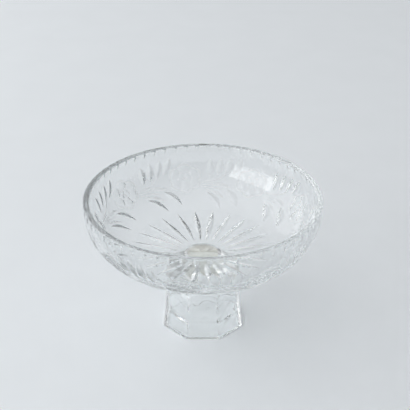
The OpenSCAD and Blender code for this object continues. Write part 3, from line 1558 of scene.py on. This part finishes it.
@dataclass
class BondDisc:
    """The film of clear adhesive between the bowl and its foot, with a slightly uneven edge."""

    node: str = "bond_disc"
    bite: float = 0.05
    width_share: float = 0.94
    edge_wander: float = 0.25
    # How far in the edge is on average, and for each wave round it the share, the count and the shift.
    mean_share: float = 0.5
    waves: tuple[tuple[float, int, float], ...] = ((0.3, 5, 0.7), (0.2, 11, 0.0))
    columns: int = 144
    # For each row, from below the film up, its share of the radius and of the height.
    row_shares: tuple[float, ...] = (0.5, 0.97, 1.0, 1.0, 0.97, 0.5)
    row_lifts: tuple[float, ...] = (0.0, 0.0, 0.25, 0.75, 1.0, 1.0)
    crease: float = 30.0

    def build(self, material: bpy.types.Material) -> bpy.types.Object:
        """Makes the film: a thin round plate that bites into both glasses, so that no air is between them.

        Its radius is r less w times the sum of a mean share and two cosines round the axis.

        Args:
            material: Its finish.

        Returns:
            The piece.
        """
        low, high = node_box(self.node)
        radius = float(high[0] - low[0]) / 2
        bottom, top = float(low[2]) - self.bite, float(high[2]) + self.bite
        angles = np.arange(self.columns) * 2 * np.pi / self.columns
        cosines = (share * np.cos(count * angles + shift) for share, count, shift in self.waves)
        wander = sum(cosines, self.mean_share)
        edge = self.width_share * radius - self.edge_wander * wander
        rows_r = np.array(self.row_shares)[:, None] * edge
        rows_z = bottom + np.array(self.row_lifts) * (top - bottom)
        points = np.concatenate([turned(rows_r, rows_z, angles), [[0, 0, bottom], [0, 0, top]]])
        piece = make_piece("bond_film", points, closed_faces(*rows_r.shape), material)
        piece.data.set_sharp_from_angle(angle=np.radians(self.crease))
        place_piece(piece, self.node)
        return piece


@dataclass
class Studio:
    """A pale board, a window to the front left, a lit wall beside it, and the room round them.

    The room is bright on the window's side and dim on the other. Sizes here are metres.
    """

    floor_size: float = 12.0
    floor_drop: float = 0.0002
    floor_cells: int = 8
    aim: tuple[float, float, float] = (0.0, 0.0, 0.1)
    window_way: tuple[float, float, float] = (-0.788, -0.532, 0.309)
    window_distance: float = 2.6
    window_size: tuple[float, float] = (2.25, 1.44)
    window_radiance: float = 2.1
    wall_place: tuple[float, float, float] = (-1.5, 0.5, 0.85)
    wall_size: tuple[float, float] = (2.8, 1.5)
    wall_radiance: float = 0.8
    bright_way: tuple[float, float, float] = (-0.68, 0.12, 0.72)
    bright_side: float = 1.43
    dim_side: float = 0.03
    dim_from: float = -0.4
    room_power: float = 1.8
    room: str = "#FEFEFF"
    camera_place: tuple[float, float, float] = (0.0, -1.0054, 0.7043)
    camera_tilt: float = 60.76
    camera_turn: float = -0.13
    focal_pixels: float = 1100.0
    image_pixels: float = 410.0
    sensor_mm: float = 36.0
    bounces: int = 48
    glass_bounces: int = 40

    def lay_floor(self) -> None:
        """Lays the board: a flat square grid just under the foot."""
        cells = self.floor_cells
        line = np.linspace(-0.5, 0.5, cells + 1) * self.floor_size / MM
        x, y = np.meshgrid(line, line)
        points = np.stack([x, y, np.full_like(x, -self.floor_drop / MM)], axis=-1).reshape(-1, 3)
        i, j = (v.ravel() for v in np.meshgrid(np.arange(cells), np.arange(cells), indexing="ij"))
        corner = i * (cells + 1) + j
        faces = np.stack([corner, corner + 1, corner + cells + 2, corner + cells + 1], axis=-1)
        make_piece("floor", points, [faces], PaleBoard().make())

    def hang_light(
        self, name: str, place: Vector, size: tuple[float, float], radiance: float
    ) -> bpy.types.Object:
        """Hangs a flat soft light that faces the bowl, with a power of pi times radiance times area.

        Args:
            name: Name of the light.
            place: Where it hangs.
            size: Its width and height.
            radiance: How bright its face is, where 1 is a white board in full light.

        Returns:
            The light.
        """
        lamp = bpy.data.lights.new(name, "AREA")
        lamp.shape = "RECTANGLE"
        lamp.size, lamp.size_y = size
        lamp.energy = radiance * np.pi * size[0] * size[1]
        holder = bpy.data.objects.new(name, lamp)
        holder.location = place
        holder.rotation_euler = (Vector(self.aim) - place).to_track_quat("-Z", "Y").to_euler()
        bpy.context.scene.collection.objects.link(holder)
        return holder

    def light(self) -> None:
        """Lights the scene: the window, the lit wall, and the room, whose brightness follows the direction.

        The room's level is dim + (bright - dim) n^p, where n runs from 0 to 1 towards the bright side.
        """
        way = Vector(self.window_way).normalized() * self.window_distance
        self.hang_light("window", way + Vector(self.aim), self.window_size, self.window_radiance)
        wall = self.hang_light("lit_wall", Vector(self.wall_place), self.wall_size, self.wall_radiance)
        # The glow of the room already stands for this wall in the glass, so it shows no second edge there.
        wall.visible_glossy = False
        world = bpy.data.worlds.new("room")
        world.use_nodes = True
        tree = world.node_tree
        tree.nodes.clear()
        look = add_node(tree, "ShaderNodeTexCoord").outputs["Generated"]
        towards = add_node(
            tree,
            "ShaderNodeVectorMath",
            {0: look, 1: Vector(self.bright_way).normalized()},
            operation="DOT_PRODUCT",
        )
        nearness = add_node(
            tree,
            "ShaderNodeMapRange",
            {"Value": towards.outputs["Value"], "From Min": self.dim_from, "From Max": 1.0},
        )
        swell = add_node(
            tree, "ShaderNodeMath", {0: nearness.outputs["Result"], 1: self.room_power}, operation="POWER"
        )
        level = add_node(
            tree,
            "ShaderNodeMath",
            {0: swell.outputs[0], 1: self.bright_side - self.dim_side, 2: self.dim_side},
            operation="MULTIPLY_ADD",
        )
        glow = add_node(
            tree, "ShaderNodeBackground", {"Color": linear(self.room), "Strength": level.outputs[0]}
        )
        add_node(tree, "ShaderNodeOutputWorld", {"Surface": glow.outputs["Background"]})
        bpy.context.scene.world = world

    def stand_camera(self) -> None:
        """Stands the camera where the photograph was taken from.

        The lens is the sensor's width times the focal length over the picture's width, both in pixels.
        """
        lens = bpy.data.cameras.new("camera")
        lens.sensor_width = self.sensor_mm
        lens.lens = self.sensor_mm * self.focal_pixels / self.image_pixels
        camera = bpy.data.objects.new("camera", lens)
        camera.location = self.camera_place
        camera.rotation_euler = np.radians([self.camera_tilt, 0.0, self.camera_turn])
        bpy.context.scene.collection.objects.link(camera)
        bpy.context.scene.camera = camera

    def build(self) -> None:
        """Sets the whole studio up, and how the picture is worked out and shown."""
        self.lay_floor()
        self.light()
        self.stand_camera()
        scene = bpy.context.scene
        scene.view_settings.view_transform = "Standard"
        # Light crosses many faces of cut glass before it leaves.
        scene.cycles.max_bounces = self.bounces
        scene.cycles.glossy_bounces = self.glass_bounces
        scene.cycles.transmission_bounces = self.glass_bounces
        scene.cycles.blur_glossy = 0.0
        scene.cycles.use_denoising = True
        # The normals of so many cuts would keep the grain that is to be smoothed.
        scene.cycles.denoising_input_passes = "RGB_ALBEDO"


def main() -> None:
    """Builds the bowl, its film and its foot, and sets up the studio."""
    logging.basicConfig(level=logging.INFO, format="%(name)s: %(message)s")
    crystal = CutCrystal().make()
    CutBowl().build(crystal)
    BondDisc().build(BondFilm().make())
    # Pressed glass is clearer in its depth than the bowl's, and its waves are closer and higher.
    pressed = CutCrystal(name="lead_crystal_pressed", depth_density=0.6, wave_mm=18.0, wave_height_mm=0.03)
    PedestalFoot().build(pressed.make())
    Studio().build()


if __name__ == "__main__":
    main()
